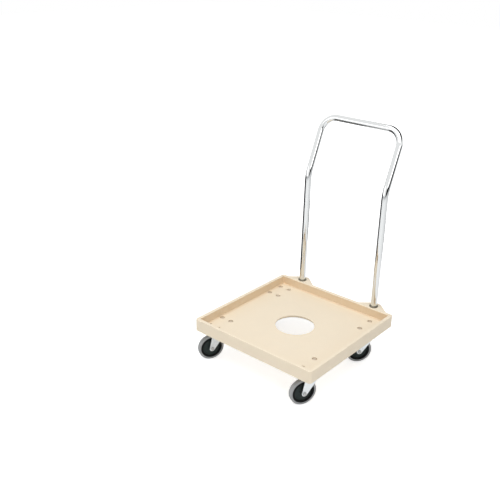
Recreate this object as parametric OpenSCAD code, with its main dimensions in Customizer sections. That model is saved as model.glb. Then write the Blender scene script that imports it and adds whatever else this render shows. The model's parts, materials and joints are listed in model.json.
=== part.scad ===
// Dish rack dolly: a square moulded tray on four swivel casters, with a bent tube push handle.
// Millimetres, Z up. The origin is on the ground, under the middle of the whole dolly's box.
// Front is -Y, and the handle stands at the back, +Y.

/* [Tray] */
// Outer side of the square tray
deck_side = 543; // [500:1:620]
// Outer radius of the tray's four corners
corner_r = 12; // [8:1:20]
// Width of the raised rim, from its outer to its inner face
rim_w = 14; // [12:0.5:18]
// Radius of the inner corners at the rim
inner_corner_r = 4; // [4:0.5:8]
// How far the inner walls lean in by the time they reach the floor
wall_draft = 1; // [0.5:0.25:1.25]
// Depth of the tray from the rim to the floor
tray_depth = 34; // [25:1:50]
// Height of the outer skirt, from the rim down
skirt_h = 48; // [44:1:60]
// Thickness of the moulded walls
wall_t = 4; // [3.5:0.25:5]
// Thickness of the floor
floor_t = 5; // [4:0.5:7]
// Rounding of the rim's edges
rim_round = 2; // [1:0.25:3]
// Fillet between the inner walls and the floor
floor_fillet = 2.5; // [1:0.25:2.5]
// Diameter of the hole in the middle of the floor
hole_d = 150; // [100:5:200]
// Chamfer round the hole's edges
hole_chamfer = 1; // [0.5:0.25:2]

/* [Ribs under the tray] */
// Thickness of the ribs
rib_t = 3; // [2:0.5:5]
// Ribs each way
rib_rows = 5; // [3:2:7]
// Distance from the hole's edge to the ring rib
ring_gap = 8; // [5:1:15]

/* [Caster pads] */
// Distance from the tray's outer face to the swivel axis, across the tray
pad_inset_x = 49.5; // [47:0.5:60]
// Distance from the tray's outer face to the swivel axis, along the tray
pad_inset_y = 87.5; // [80:0.5:120]
// Thickness of the tray where the casters bolt on, from the floor's face down
pad_t = 18; // [16:0.5:24]
// Margin of the pad round the caster's plate
pad_margin = 4; // [2:0.5:4.5]
// Depth of the sunk seats for the bolt heads
seat_depth = 8; // [7.5:0.25:10]
// Diameter of the sunk seats
seat_d = 19; // [17.5:0.5:20]

/* [Caster plate] */
// Width of the plate, across the tray
plate_w = 60.3; // [60:0.1:64]
// Length of the plate, along the tray
plate_l = 92; // [90:0.5:100]
// Thickness of the plate
plate_t = 3; // [2.5:0.25:4]
// Corner radius of the plate
plate_r = 6; // [3:0.5:7]
// Bolt spacing across the tray
bolt_gap_x = 44.5; // [43:0.5:45]
// Bolt spacing along the tray
bolt_gap_y = 73; // [71:0.5:76]
// Thread diameter of the plate bolts and handle bolts
bolt_d = 8; // [6:0.5:8.5]
// Length of the plate bolts under the head
bolt_l = 26; // [25:0.5:28]

/* [Swivel head] */
// Depth of the upper ball race below the plate
race_drop = 9; // [8:0.5:14]
// Gap between the upper and the lower half of the ball race
race_gap = 3.4; // [2.8:0.1:4]
// Diameter of the upper balls
ball_d = 6; // [5.5:0.25:6.5]
// Radius of the upper ball circle
race_r = 21; // [20.5:0.25:22]
// Outer radius of the swivel head
head_r = 28; // [27:0.5:30]
// Height of the raised race on the fork's crown
race_rise = 4.6; // [4.2:0.1:6]
// Diameter of the lower balls
small_ball_d = 4.5; // [4:0.25:5]
// Radius of the lower ball circle
small_race_r = 9; // [8.5:0.25:9.25]
// Gap between the lower race and its cup
small_race_gap = 2.4; // [2:0.1:3]
// Thickness of the lower race cup
cup_t = 4; // [3:0.25:4.5]
// Rim of the lower race cup outside its balls
cup_rim = 2; // [1.5:0.25:2.25]
// Shank diameter of the kingpin
kingpin_d = 10; // [9:0.5:11]
// How far the kingpin's button head stands out past its shank
kingpin_rim = 4; // [3:0.5:4.5]
// How far the kingpin's riveted end stands out past its shank
rivet_rim = 3; // [2:0.5:3.5]

/* [Fork and wheel] */
// Wheel diameter
wheel_d = 101.6; // [95:0.1:110]
// Distance from the swivel axis to the axle
trail = 38; // [34:0.5:42]
// Gap between the wheel's top and the fork's crown
wheel_gap = 6.4; // [5:0.2:12]
// Thickness of the fork's steel
fork_t = 3; // [2.5:0.25:4]
// Radius of the fork legs' rounded ends
leg_r = 10.5; // [9:0.5:13]
// Reach of the fork legs' root in front of the swivel axis
leg_front = 12; // [10:0.5:18]
// Reach of the fork legs' root behind the swivel axis
leg_back = 38; // [32:0.5:40]
// Diameter of the axle bolt
axle_d = 8; // [7:0.5:10]
// Outer diameter of the sleeve that the wheel turns on
sleeve_d = 12.7; // [12:0.1:14]
// Width of the tread
tread_w = 24; // [23.5:0.5:30]
// Thickness of the tread
tread_t = 8.5; // [7:0.25:11]
// Rounding of the tread's shoulders
tread_round = 8; // [3:0.5:8]
// How far the hub stands out past the tread on each side
hub_proud = 3; // [2.75:0.25:6]
// Diameter of the hub
hub_d = 27; // [24:0.5:32]
// Thickness of the wheel's web
web_t = 8; // [6:0.5:12]
// Radial depth of the wheel's rim
wheel_rim_t = 6.5; // [5:0.5:9]

/* [Pose in which the casters stand] */
// Direction of the front left caster's trail
heading_front_left = -117; // [-180:1:180]
// Direction of the front right caster's trail
heading_front_right = -117; // [-180:1:180]
// Direction of the back left caster's trail
heading_back_left = -112; // [-180:1:180]
// Direction of the back right caster's trail
heading_back_right = -130; // [-180:1:180]

/* [Handle] */
// Outer diameter of the handle tube
tube_d = 25.4; // [22:0.1:28]
// Wall of the handle tube
tube_wall = 1.6; // [1.2:0.1:2.5]
// Distance between the handle's two legs
tube_gap = 352; // [300:1:380]
// Distance from the tray's outer face back to the legs
tube_back = 10; // [8:0.5:20]
// Height of the lower bend above the rim
bend_h = 469; // [300:1:600]
// Height of the bar above the rim
bar_h = 691; // [660:1:850]
// Angle by which the handle leans back above its lower bend
lean = 22; // [10:1:35]
// Bend radius of the lean
lean_bend_r = 100; // [60:5:150]
// Bend radius of the top corners
corner_bend_r = 60; // [50:2:80]
// Outer diameter of the collar at each leg's foot
collar_d = 34; // [31:0.5:38]
// Height of the collar
collar_h = 6; // [4:0.5:12]

/* [Handle sockets] */
// Radius of each ear's rounded point
ear_r = 33; // [26:0.5:40]
// Slope of the ears' sides
ear_slope = 41; // [30:1:50]
// Wall of the socket round the tube
socket_t = 4.7; // [3:0.1:6]
// Thickness of the shelf that the tube stands on
shelf_t = 5; // [4:0.5:8]
// Length of the threaded plug in each leg's foot
plug_l = 20; // [15:1:30]
// Length of the handle bolts under the head
handle_bolt_l = 22; // [18:0.5:24]

/* [Hidden] */
$fn = 48;

// Clearances: a fixed fit, a running fit, round a bolt, and round a ball
fit = 0.05;
run_fit = 0.06;
bolt_fit = 0.25;
ball_fit = 0.1;
// Play of the hub between the fork's legs, on each side
side_gap = 0.4;
// How far a cutting shape reaches past the face that it cuts
past = 1;

// Heights, from the ground up
axle_z = wheel_d / 2;
crown_z = wheel_d + wheel_gap;
crown_top = crown_z + fork_t;
race_low = crown_top + race_rise;
race_high = race_low + race_gap;
plate_z = race_high + race_drop;
caster_h = plate_z + plate_t;
floor_z = caster_h + pad_t;
floor_under = floor_z - floor_t;
rim_z = floor_z + tray_depth;
skirt_z = rim_z - skirt_h;

// Tray
inner_side = deck_side - 2 * rim_w;
deck_half = deck_side / 2;
rib_pitch = inner_side / (rib_rows + 1);
rib_lines = [for (k = [1:rib_rows]) (k - (rib_rows + 1) / 2) * rib_pitch];
ring_r = hole_d / 2 + ring_gap;

// Handle
tube_r = tube_d / 2;
lean_cut = lean_bend_r * tan(lean / 2);
lean_l = (bar_h - bend_h) / cos(lean);
foot_z = skirt_z + shelf_t;
leg_l = rim_z + bend_h - lean_cut - foot_z;
rise_l = lean_l - lean_cut - corner_bend_r;
bend_lap = 0.3;
bend_thin = 0.05;
socket_r = tube_r + fit + socket_t;
handle_reach = tube_back + lean_l * sin(lean) + tube_r;
deck_cy = -handle_reach / 2;
tube_y = deck_half + tube_back;
ear_normal = 90 - ear_slope;

// Fasteners, in the proportions of standard hex hardware
head_af = 1.625 * bolt_d;
head_h = 0.66 * bolt_d;
nut_h = bolt_d;
washer_d = 2 * bolt_d;
washer_t = 0.2 * bolt_d;
axle_af = 1.5 * axle_d;
axle_head_h = 0.6 * axle_d;
axle_nut_h = axle_d;
axle_spare = 2;

// Swivel head
ball_z = (race_low + race_high) / 2;
ball_count = floor(360 / (2 * asin((ball_d + 0.4) / (2 * race_r))));
small_race_z = race_low - fork_t;
small_ball_z = small_race_z - small_race_gap / 2;
small_count = floor(360 / (2 * asin((small_ball_d + 0.4) / (2 * small_race_r))));
cup_top = small_race_z - small_race_gap;
cup_z = cup_top - cup_t;
cup_r = small_race_r + small_ball_d / 2 + cup_rim;
cup_room = 1.5;
kingpin_head_h = 4;
kingpin_head_r = kingpin_d / 2 + kingpin_rim;
rivet_r = kingpin_d / 2 + rivet_rim;
rivet_t = 1.4;

// Wheel
hub_half = tread_w / 2 + hub_proud;
fork_half = hub_half + side_gap;
core_r = wheel_d / 2 - tread_t;
bead_proud = 0.6;

// Casters: side signs across and along the tray, and the way each one trails
caster_sides = [[-1, -1], [1, -1], [-1, 1], [1, 1]];
headings = [heading_front_left, heading_front_right, heading_back_left, heading_back_right];
pad_x = deck_half - pad_inset_x;
pad_y = deck_half - pad_inset_y;

tray_colour = [0.93, 0.87, 0.75];
zinc_colour = [0.82, 0.84, 0.84];
chrome_colour = [0.78, 0.76, 0.74];
steel_colour = [0.62, 0.62, 0.60];
core_colour = [0.09, 0.10, 0.10];
tread_colour = [0.58, 0.59, 0.59];

// Point where a line from p touches the circle of radius r about c, on the side that turn gives
function touch_point(c, r, p, turn) =
    let (d = p - c, start = atan2(d[1], d[0]), swing = acos(r / norm(d)))
    c + r * [cos(start + turn * swing), sin(start + turn * swing)];

// Places its children on the tray's own centre line
module on_deck() {
    translate([0, deck_cy, 0]) children();
}

// Places its children at caster i, with +X along the trail
module at_caster(i) {
    side = caster_sides[i];
    on_deck() translate([side[0] * pad_x, side[1] * pad_y, 0]) rotate(headings[i]) children();
}

// Places its children at caster i, square to the tray
module at_pad(i) {
    side = caster_sides[i];
    on_deck() translate([side[0] * pad_x, side[1] * pad_y, 0]) children();
}

// Places its children at each of a plate's four bolts
module at_plate_bolts() {
    for (sx = [-1, 1], sy = [-1, 1])
        translate([sx * bolt_gap_x / 2, sy * bolt_gap_y / 2, 0]) children();
}

// Places its children at the two legs of the handle
module at_legs() {
    for (side = [-1, 1])
        on_deck() translate([side * tube_gap / 2, tube_y, 0]) children();
}

// Places its children at a caster's axle, with +Z along it
module on_axle() {
    translate([trail, 0, axle_z]) rotate([-90, 0, 0]) children();
}

module round_rectangle(x, y, r) {
    square([x - 2 * r, y], center = true);
    square([x, y - 2 * r], center = true);
    for (sx = [-1, 1], sy = [-1, 1])
        translate([sx * (x / 2 - r), sy * (y / 2 - r)]) circle(r);
}

// A ring between two rounded squares, from height z0 to z1
module square_ring(outer, outer_r, inner, inner_r, z0, z1) {
    translate([0, 0, z0]) linear_extrude(z1 - z0) difference() {
        round_rectangle(outer, outer, outer_r);
        round_rectangle(inner, inner, inner_r);
    }
}

// Carries a profile round a rounded square: x = 0 lies on the square, +x points out
module round_the_square(side, r) {
    for (a = [0:90:270]) rotate(a) {
        translate([side / 2, 0, 0]) rotate([90, 0, 0])
            linear_extrude(side - 2 * r, center = true) children();
        translate([side / 2 - r, side / 2 - r, 0]) rotate_extrude(angle = 90)
            translate([r, 0]) children();
    }
}

// What an edge rounding takes away from a corner at the origin that points to +x, +y
module edge_round(r) {
    difference() {
        translate([-r, -r]) square(r + past);
        translate([-r, -r]) circle(r);
    }
}

// Leaning face and foot fillet of the inner walls
module wall_foot() {
    foot = [-wall_draft - floor_fillet, floor_z + floor_fillet];
    difference() {
        polygon([
            [past, rim_z - wall_t], [0, rim_z - wall_t], [-wall_draft, foot[1]],
            foot, [foot[0], floor_under], [past, floor_under]
        ]);
        translate(foot) circle(floor_fillet);
    }
}

// One ear's outline, drawn in by t, down to the line y = base; the tube is at the origin.
// The sides end just inside the rounded point, so that they cross it and don't only touch it.
module ear_outline(t, base) {
    r = ear_r - t;
    tip = (r - fit) * [cos(ear_normal), sin(ear_normal)];
    foot_x = (r - base * sin(ear_normal)) / cos(ear_normal);
    intersection() {
        circle(r);
        translate([-ear_r, base]) square([2 * ear_r, ear_r - base]);
    }
    polygon([[foot_x, base], tip, [-tip[0], tip[1]], [-foot_x, base]]);
}

module ear() {
    translate([0, 0, rim_z - wall_t]) linear_extrude(wall_t)
        ear_outline(0, -tube_back - rim_w / 2);
    translate([0, 0, skirt_z]) linear_extrude(skirt_h - wall_t) difference() {
        ear_outline(0, -tube_back - wall_t / 2);
        ear_outline(wall_t, -tube_back - wall_t);
    }
    translate([0, 0, skirt_z]) cylinder(h = skirt_h, r = socket_r);
    intersection() {
        translate([0, 0, skirt_z]) linear_extrude(skirt_h - wall_t / 2)
            ear_outline(wall_t / 2, -tube_back - wall_t / 2);
        for (a = [15, 90, 165]) rotate(a)
            translate([tube_r + fit + socket_t / 2, -rib_t / 2, skirt_z]) cube([ear_r * 2, rib_t, skirt_h]);
    }
}

module ribs() {
    rib_l = deck_side - wall_t;
    depth = floor_under - skirt_z;
    difference() {
        for (turn = [0, 90]) rotate(turn) {
            for (x = rib_lines) translate([x - rib_t / 2, -rib_l / 2, skirt_z])
                cube([rib_t, rib_l, depth + floor_t / 2]);
        }
        translate([0, 0, skirt_z - past]) cylinder(h = depth + floor_t, r = ring_r + rib_t / 2);
    }
    translate([0, 0, skirt_z]) difference() {
        cylinder(h = depth + floor_t / 2, r = ring_r + rib_t);
        translate([0, 0, -past]) cylinder(h = depth + floor_t + past, r = ring_r);
    }
    for (turn = [0:90:270]) rotate(turn) {
        for (x = rib_lines) translate([x - rib_t / 2, deck_half - rim_w + wall_t / 2, floor_under])
            cube([rib_t, rim_w - wall_t, rim_z - floor_under - wall_t / 2]);
    }
}

module tray_moulding() {
    square_ring(deck_side, corner_r, deck_side - 2 * wall_t, corner_r - wall_t, skirt_z, rim_z);
    square_ring(
        inner_side + 2 * wall_t, inner_corner_r + wall_t, inner_side, inner_corner_r, floor_under, rim_z
    );
    square_ring(deck_side, corner_r, inner_side, inner_corner_r, rim_z - wall_t, rim_z);
    round_the_square(inner_side, inner_corner_r) wall_foot();
    translate([0, 0, floor_under]) linear_extrude(floor_t) square(inner_side, center = true);
    for (side = caster_sides) translate([side[0] * pad_x, side[1] * pad_y, caster_h])
        linear_extrude(pad_t - floor_t / 2)
            round_rectangle(plate_w + 2 * pad_margin, plate_l + 2 * pad_margin, plate_r + pad_margin);
    ribs();
}

module tray() {
    color(tray_colour) on_deck() difference() {
        union() {
            difference() {
                tray_moulding();
                difference() {
                    round_the_square(deck_side, corner_r) translate([0, rim_z]) edge_round(rim_round);
                    for (side = [-1, 1]) translate([side * tube_gap / 2, tube_y, skirt_z])
                        linear_extrude(2 * skirt_h) ear_outline(0, -tube_back - rim_w / 2);
                }
                round_the_square(inner_side, inner_corner_r) translate([0, rim_z])
                    mirror([1, 0]) edge_round(rim_round);
            }
            for (side = [-1, 1]) translate([side * tube_gap / 2, tube_y, 0]) ear();
        }
        translate([0, 0, skirt_z]) cylinder(h = skirt_h, d = hole_d);
        translate([0, 0, floor_z - hole_chamfer])
            cylinder(h = hole_chamfer + past, r1 = hole_d / 2, r2 = hole_d / 2 + hole_chamfer + past);
        translate([0, 0, floor_under - past])
            cylinder(h = hole_chamfer + past, r1 = hole_d / 2 + hole_chamfer + past, r2 = hole_d / 2);
        for (side = caster_sides) translate([side[0] * pad_x, side[1] * pad_y, 0]) at_plate_bolts() {
            translate([0, 0, caster_h - past]) cylinder(h = pad_t + 2 * past, d = bolt_d + 2 * bolt_fit);
            translate([0, 0, floor_z - seat_depth]) cylinder(h = seat_depth + past, d = seat_d);
        }
        for (side = [-1, 1]) translate([side * tube_gap / 2, tube_y, 0]) {
            translate([0, 0, foot_z]) cylinder(h = skirt_h, r = tube_r + fit);
            translate([0, 0, skirt_z - past]) cylinder(h = shelf_t + 2 * past, d = bolt_d + 2 * bolt_fit);
        }
    }
}

// A length of tube along +Z, reaching past its ends into the bends there
module tube_run(l, below, above) {
    translate([0, 0, -below]) linear_extrude(l + below + above) difference() {
        circle(tube_r);
        circle(tube_r - tube_wall);
    }
}

// A bend of the tube about +Z, starting on +X; bending draws its wall a little thinner
module tube_bend(r, angle) {
    rotate_extrude(angle = angle) translate([r, 0]) difference() {
        circle(tube_r - bend_thin);
        circle(tube_r - tube_wall + bend_thin);
    }
}

// Places its children where the lower bends end, with +Z up the leaning part
module on_lean() {
    translate([0, tube_y + lean_bend_r, foot_z + leg_l]) rotate([-lean, 0, 0])
        translate([0, -lean_bend_r, 0]) children();
}

// One leg of the handle, from its foot to the end of its top bend
module handle_leg() {
    translate([-tube_gap / 2, tube_y, foot_z]) {
        tube_run(leg_l, 0, bend_lap);
        translate([0, lean_bend_r, leg_l]) rotate([90, 0, -90]) tube_bend(lean_bend_r, lean);
    }
    on_lean() translate([-tube_gap / 2, 0, 0]) {
        tube_run(rise_l, bend_lap, bend_lap);
        translate([corner_bend_r, 0, rise_l]) rotate([90, 0, 180]) tube_bend(corner_bend_r, 90);
    }
}

module handle_tube() {
    bar_l = tube_gap - 2 * corner_bend_r;
    color(chrome_colour) on_deck() {
        handle_leg();
        mirror([1, 0, 0]) handle_leg();
        on_lean() translate([-bar_l / 2, 0, rise_l + corner_bend_r]) rotate([0, 90, 0])
            tube_run(bar_l, bend_lap, bend_lap);
    }
}

// Steel collar on one leg, seated on the tray's rim and ear
module handle_collar(side) {
    edge = 1;
    color(steel_colour) on_deck() translate([side * tube_gap / 2, tube_y, rim_z]) difference() {
        union() {
            cylinder(h = collar_h - edge, d = collar_d);
            translate([0, 0, collar_h - edge]) cylinder(h = edge, d1 = collar_d, d2 = collar_d - 2 * edge);
        }
        translate([0, 0, -past]) cylinder(h = collar_h + 2 * past, r = tube_r + fit);
    }
}

module handle_plugs() {
    color(steel_colour) at_legs() translate([0, 0, foot_z]) difference() {
        cylinder(h = plug_l, r = tube_r - tube_wall - fit);
        translate([0, 0, -past]) cylinder(h = plug_l + 2 * past, d = bolt_d + 2 * fit);
    }
}

// A flat washer with its lower face at z = 0
module washer() {
    difference() {
        cylinder(h = washer_t, d = washer_d);
        translate([0, 0, -past]) cylinder(h = washer_t + 2 * past, d = bolt_d + 2 * fit);
    }
}

// A hexagonal prism, af across its flats, with a chamfered crown on top
module hex_block(af, h) {
    chamfer = af * 0.06;
    intersection() {
        cylinder(h = h, d = af / cos(30), $fn = 6);
        union() {
            cylinder(h = h - chamfer, r = af);
            translate([0, 0, h - chamfer])
                cylinder(h = chamfer, r1 = af / 2 / cos(30), r2 = af / 2 - chamfer / 2);
        }
    }
}

// A hex bolt, with its head above z = 0 and its shank below
module hex_bolt(d, af, h, l) {
    hex_block(af, h);
    translate([0, 0, -l]) cylinder(h = l + h / 2, d = d);
}

// A lock nut round a shank of diameter d, with its seat at z = 0 and its rounded collar on top
module lock_nut(d, af, h) {
    hex_h = h * 0.7;
    difference() {
        union() {
            cylinder(h = hex_h, d = af / cos(30), $fn = 6);
            cylinder(h = h, d = af * 0.88);
        }
        translate([0, 0, -past]) cylinder(h = h + 2 * past, d = d + 2 * fit);
    }
}

module handle_washers() {
    color(zinc_colour) at_legs() translate([0, 0, skirt_z - washer_t]) washer();
}

module handle_bolts() {
    color(zinc_colour) at_legs() translate([0, 0, skirt_z - washer_t]) mirror([0, 0, 1])
        hex_bolt(bolt_d, head_af, head_h, handle_bolt_l);
}

module plate_washers() {
    color(zinc_colour) for (i = [0:3]) at_pad(i) at_plate_bolts()
        translate([0, 0, floor_z - seat_depth]) washer();
}

module plate_bolts() {
    color(zinc_colour) for (i = [0:3]) at_pad(i) at_plate_bolts()
        translate([0, 0, floor_z - seat_depth + washer_t]) hex_bolt(bolt_d, head_af, head_h, bolt_l);
}

module plate_nuts() {
    color(zinc_colour) for (i = [0:3]) at_pad(i) at_plate_bolts()
        translate([0, 0, plate_z]) mirror([0, 0, 1]) lock_nut(bolt_d, head_af, nut_h);
}

// Ring groove for balls of diameter d, at radius r and height z
module ball_groove(d, r, z) {
    translate([0, 0, z]) rotate_extrude() translate([r, 0]) circle(d / 2 + ball_fit);
}

// Mounting plate, with the upper race pressed down out of it
module top_plate() {
    dome_wall = fork_t;
    slope = 3;
    hub_r = rivet_r + dome_wall;
    color(zinc_colour) difference() {
        union() {
            translate([0, 0, plate_z]) linear_extrude(plate_t) round_rectangle(plate_w, plate_l, plate_r);
            translate([0, 0, race_high])
                cylinder(h = race_drop + plate_t / 2, r1 = head_r - slope, r2 = head_r);
        }
        difference() {
            translate([0, 0, race_high + dome_wall])
                cylinder(
                    h = race_drop + plate_t - dome_wall + past,
                    r1 = head_r - slope - dome_wall, r2 = head_r - dome_wall
                );
            cylinder(h = caster_h + 2 * past, r = hub_r);
        }
        translate([0, 0, race_high - past])
            cylinder(h = race_drop + plate_t + 2 * past, d = kingpin_d + 2 * fit);
        translate([0, 0, caster_h - rivet_t]) cylinder(h = rivet_t + past, r = rivet_r + fit);
        translate([0, 0, -past]) at_plate_bolts()
            cylinder(h = caster_h + 2 * past, d = bolt_d + 2 * bolt_fit);
        ball_groove(ball_d, race_r, ball_z);
    }
}

// Kingpin: riveted flush in the plate, with a button head under the race cup
module kingpin() {
    color(zinc_colour) {
        translate([0, 0, cup_z]) cylinder(h = caster_h - cup_z, d = kingpin_d);
        translate([0, 0, caster_h - rivet_t]) cylinder(h = rivet_t, r = rivet_r);
        translate([0, 0, cup_z - kingpin_head_h / 2]) cylinder(h = kingpin_head_h / 2, r = kingpin_head_r);
        translate([0, 0, cup_z - kingpin_head_h])
            cylinder(h = kingpin_head_h / 2, r1 = kingpin_head_r - 2, r2 = kingpin_head_r);
    }
}

module race_cup() {
    edge = 1;
    color(steel_colour) difference() {
        union() {
            translate([0, 0, cup_z + edge]) cylinder(h = cup_t - edge, r = cup_r);
            translate([0, 0, cup_z]) cylinder(h = edge, r1 = cup_r - edge, r2 = cup_r);
        }
        translate([0, 0, cup_z - past]) cylinder(h = cup_t + 2 * past, d = kingpin_d + 2 * fit);
        ball_groove(small_ball_d, small_race_r, small_ball_z);
    }
}

// A full circle of balls
module ball_circle(d, r, z, count) {
    for (k = [0:count - 1]) rotate(k * 360 / count) translate([r, 0, z]) sphere(d = d);
}

module upper_balls() {
    color(steel_colour) ball_circle(ball_d, race_r, ball_z, ball_count);
}

module lower_balls() {
    color(steel_colour) ball_circle(small_ball_d, small_race_r, small_ball_z, small_count);
}

// The fork's outline from the side: +x along the trail, +y up
module fork_side() {
    axle = [trail, axle_z];
    root_z = crown_z - fork_t;
    front = [-leg_front, root_z];
    back = [leg_back, root_z];
    front_touch = touch_point(axle, leg_r, front, 1);
    back_touch = touch_point(axle, leg_r, back, -1);
    translate(axle) circle(leg_r);
    polygon([axle, front_touch, front, [-leg_front, crown_top], [leg_back, crown_top], back, back_touch]);
}

// The fork's outline from behind: a folded channel with rounded shoulders
module fork_channel() {
    bend = 2 * fork_t;
    outer = fork_half + fork_t;
    difference() {
        union() {
            translate([-outer, 0]) square([2 * outer, crown_top - bend]);
            translate([-outer + bend, 0]) square([2 * (outer - bend), crown_top]);
            for (s = [-1, 1]) translate([s * (outer - bend), crown_top - bend]) circle(bend);
        }
        translate([-fork_half, -past]) square([2 * fork_half, crown_z - fork_t + past]);
        translate([-fork_half + fork_t, -past]) square([2 * (fork_half - fork_t), crown_z + past]);
        for (s = [-1, 1]) translate([s * (fork_half - fork_t), crown_z - fork_t]) circle(fork_t);
    }
}

// Pressed steel fork, with the lower half of the ball race on its crown
module fork() {
    shoulder = 2;
    color(zinc_colour) difference() {
        union() {
            intersection() {
                translate([0, fork_half + fork_t + past, 0]) rotate([90, 0, 0])
                    linear_extrude(2 * (fork_half + fork_t + past)) fork_side();
                translate([-trail, 0, 0]) rotate([90, 0, 90])
                    linear_extrude(3 * trail + leg_r) fork_channel();
            }
            translate([0, 0, crown_z]) cylinder(h = fork_t, r = head_r);
            translate([0, 0, crown_top]) cylinder(h = race_rise, r1 = head_r, r2 = head_r - shoulder);
        }
        translate([0, 0, crown_z - fork_t])
            cylinder(h = small_race_z - crown_z + fork_t, r = cup_r + cup_room);
        translate([0, 0, crown_z - past])
            cylinder(h = race_high - crown_z + past, d = kingpin_d + 2 * run_fit);
        ball_groove(ball_d, race_r, ball_z);
        ball_groove(small_ball_d, small_race_r, small_ball_z);
        on_axle() cylinder(h = 4 * fork_half, d = axle_d + 2 * fit, center = true);
    }
}

module axle_bolt() {
    shank = 2 * (fork_half + fork_t) + axle_nut_h + axle_spare;
    color(zinc_colour) on_axle() translate([0, 0, fork_half + fork_t])
        hex_bolt(axle_d, axle_af, axle_head_h, shank);
}

module axle_nut() {
    color(zinc_colour) on_axle() translate([0, 0, -fork_half - fork_t]) mirror([0, 0, 1])
        lock_nut(axle_d, axle_af, axle_nut_h);
}

// Sleeve clamped between the fork's legs: the wheel turns on it
module axle_sleeve() {
    color(steel_colour) on_axle() difference() {
        cylinder(h = 2 * fork_half, d = sleeve_d, center = true);
        cylinder(h = 2 * fork_half + 2 * past, d = axle_d + 2 * fit, center = true);
    }
}

// Half section of the wheel's core: x is the radius, y runs along the axle
module core_section() {
    rim_in = core_r - wheel_rim_t;
    rim_out = core_r - fit;
    rim_half = tread_w / 2 + bead_proud;
    hub_r = hub_d / 2;
    bore_r = sleeve_d / 2 + run_fit;
    thick = web_t / 2;
    dish = 2;
    polygon([
        [bore_r, -hub_half], [hub_r - 1, -hub_half], [hub_r, -hub_half + 1], [hub_r, -thick - dish],
        [rim_in, -thick], [rim_in, -rim_half + 1], [rim_in + 1, -rim_half], [rim_out - 1, -rim_half],
        [rim_out, -rim_half + 1],
        [rim_out, rim_half - 1], [rim_out - 1, rim_half], [rim_in + 1, rim_half], [rim_in, rim_half - 1],
        [rim_in, thick], [hub_r, thick + dish], [hub_r, hub_half - 1], [hub_r - 1, hub_half],
        [bore_r, hub_half]
    ]);
}

module wheel_core() {
    color(core_colour) on_axle() rotate_extrude() core_section();
}

module tread() {
    half = tread_w / 2;
    outer = wheel_d / 2;
    crown = min(tread_round, tread_t - bead_proud / 2);
    color(tread_colour) on_axle() rotate_extrude() intersection() {
        translate([core_r, -half - past]) square([tread_t + past, tread_w + 2 * past]);
        union() {
            translate([core_r - past, -half]) square([tread_t - crown + past, tread_w]);
            translate([core_r - past, -half + crown]) square([tread_t + past, tread_w - 2 * crown]);
            for (s = [-1, 1]) translate([outer - crown, s * (half - crown)]) circle(crown);
        }
    }
}

tray();
handle_tube();
handle_collar(-1);  // handle_collar_left
handle_collar(1);  // handle_collar_right
handle_plugs();
handle_bolts();
handle_washers();
plate_bolts();
plate_washers();
plate_nuts();
at_pad(0) top_plate();  // top_plate_front_left
at_pad(1) top_plate();  // top_plate_front_right
at_pad(2) top_plate();  // top_plate_back_left
at_pad(3) top_plate();  // top_plate_back_right
at_pad(0) kingpin();  // kingpin_front_left
at_pad(1) kingpin();  // kingpin_front_right
at_pad(2) kingpin();  // kingpin_back_left
at_pad(3) kingpin();  // kingpin_back_right
at_pad(0) race_cup();  // race_cup_front_left
at_pad(1) race_cup();  // race_cup_front_right
at_pad(2) race_cup();  // race_cup_back_left
at_pad(3) race_cup();  // race_cup_back_right
at_caster(0) upper_balls();  // upper_balls_front_left
at_caster(1) upper_balls();  // upper_balls_front_right
at_caster(2) upper_balls();  // upper_balls_back_left
at_caster(3) upper_balls();  // upper_balls_back_right
at_caster(0) lower_balls();  // lower_balls_front_left
at_caster(1) lower_balls();  // lower_balls_front_right
at_caster(2) lower_balls();  // lower_balls_back_left
at_caster(3) lower_balls();  // lower_balls_back_right
at_caster(0) fork();  // fork_front_left
at_caster(1) fork();  // fork_front_right
at_caster(2) fork();  // fork_back_left
at_caster(3) fork();  // fork_back_right
at_caster(0) axle_bolt();  // axle_bolt_front_left
at_caster(1) axle_bolt();  // axle_bolt_front_right
at_caster(2) axle_bolt();  // axle_bolt_back_left
at_caster(3) axle_bolt();  // axle_bolt_back_right
at_caster(0) axle_nut();  // axle_nut_front_left
at_caster(1) axle_nut();  // axle_nut_front_right
at_caster(2) axle_nut();  // axle_nut_back_left
at_caster(3) axle_nut();  // axle_nut_back_right
at_caster(0) axle_sleeve();  // axle_sleeve_front_left
at_caster(1) axle_sleeve();  // axle_sleeve_front_right
at_caster(2) axle_sleeve();  // axle_sleeve_back_left
at_caster(3) axle_sleeve();  // axle_sleeve_back_right
at_caster(0) wheel_core();  // wheel_core_front_left
at_caster(1) wheel_core();  // wheel_core_front_right
at_caster(2) wheel_core();  // wheel_core_back_left
at_caster(3) wheel_core();  // wheel_core_back_right
at_caster(0) tread();  // tread_front_left
at_caster(1) tread();  // tread_front_right
at_caster(2) tread();  // tread_back_left
at_caster(3) tread();  // tread_back_right
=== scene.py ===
# %% [markdown]
# # A dish rack dolly
# The dolly is a square plastic tray on four swivel casters, with a bent tube
# handle at the back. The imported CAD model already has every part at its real
# size and place, in metres. This lesson dresses it: it softens the edges that a
# mould or a press leaves soft, sweeps the handle, turns the wheels, sets out the
# fasteners, and gives each surface its own finish.

import json
import math

import bmesh
import bpy
from mathutils import Matrix, Vector
from mathutils.geometry import delaunay_2d_cdt


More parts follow.
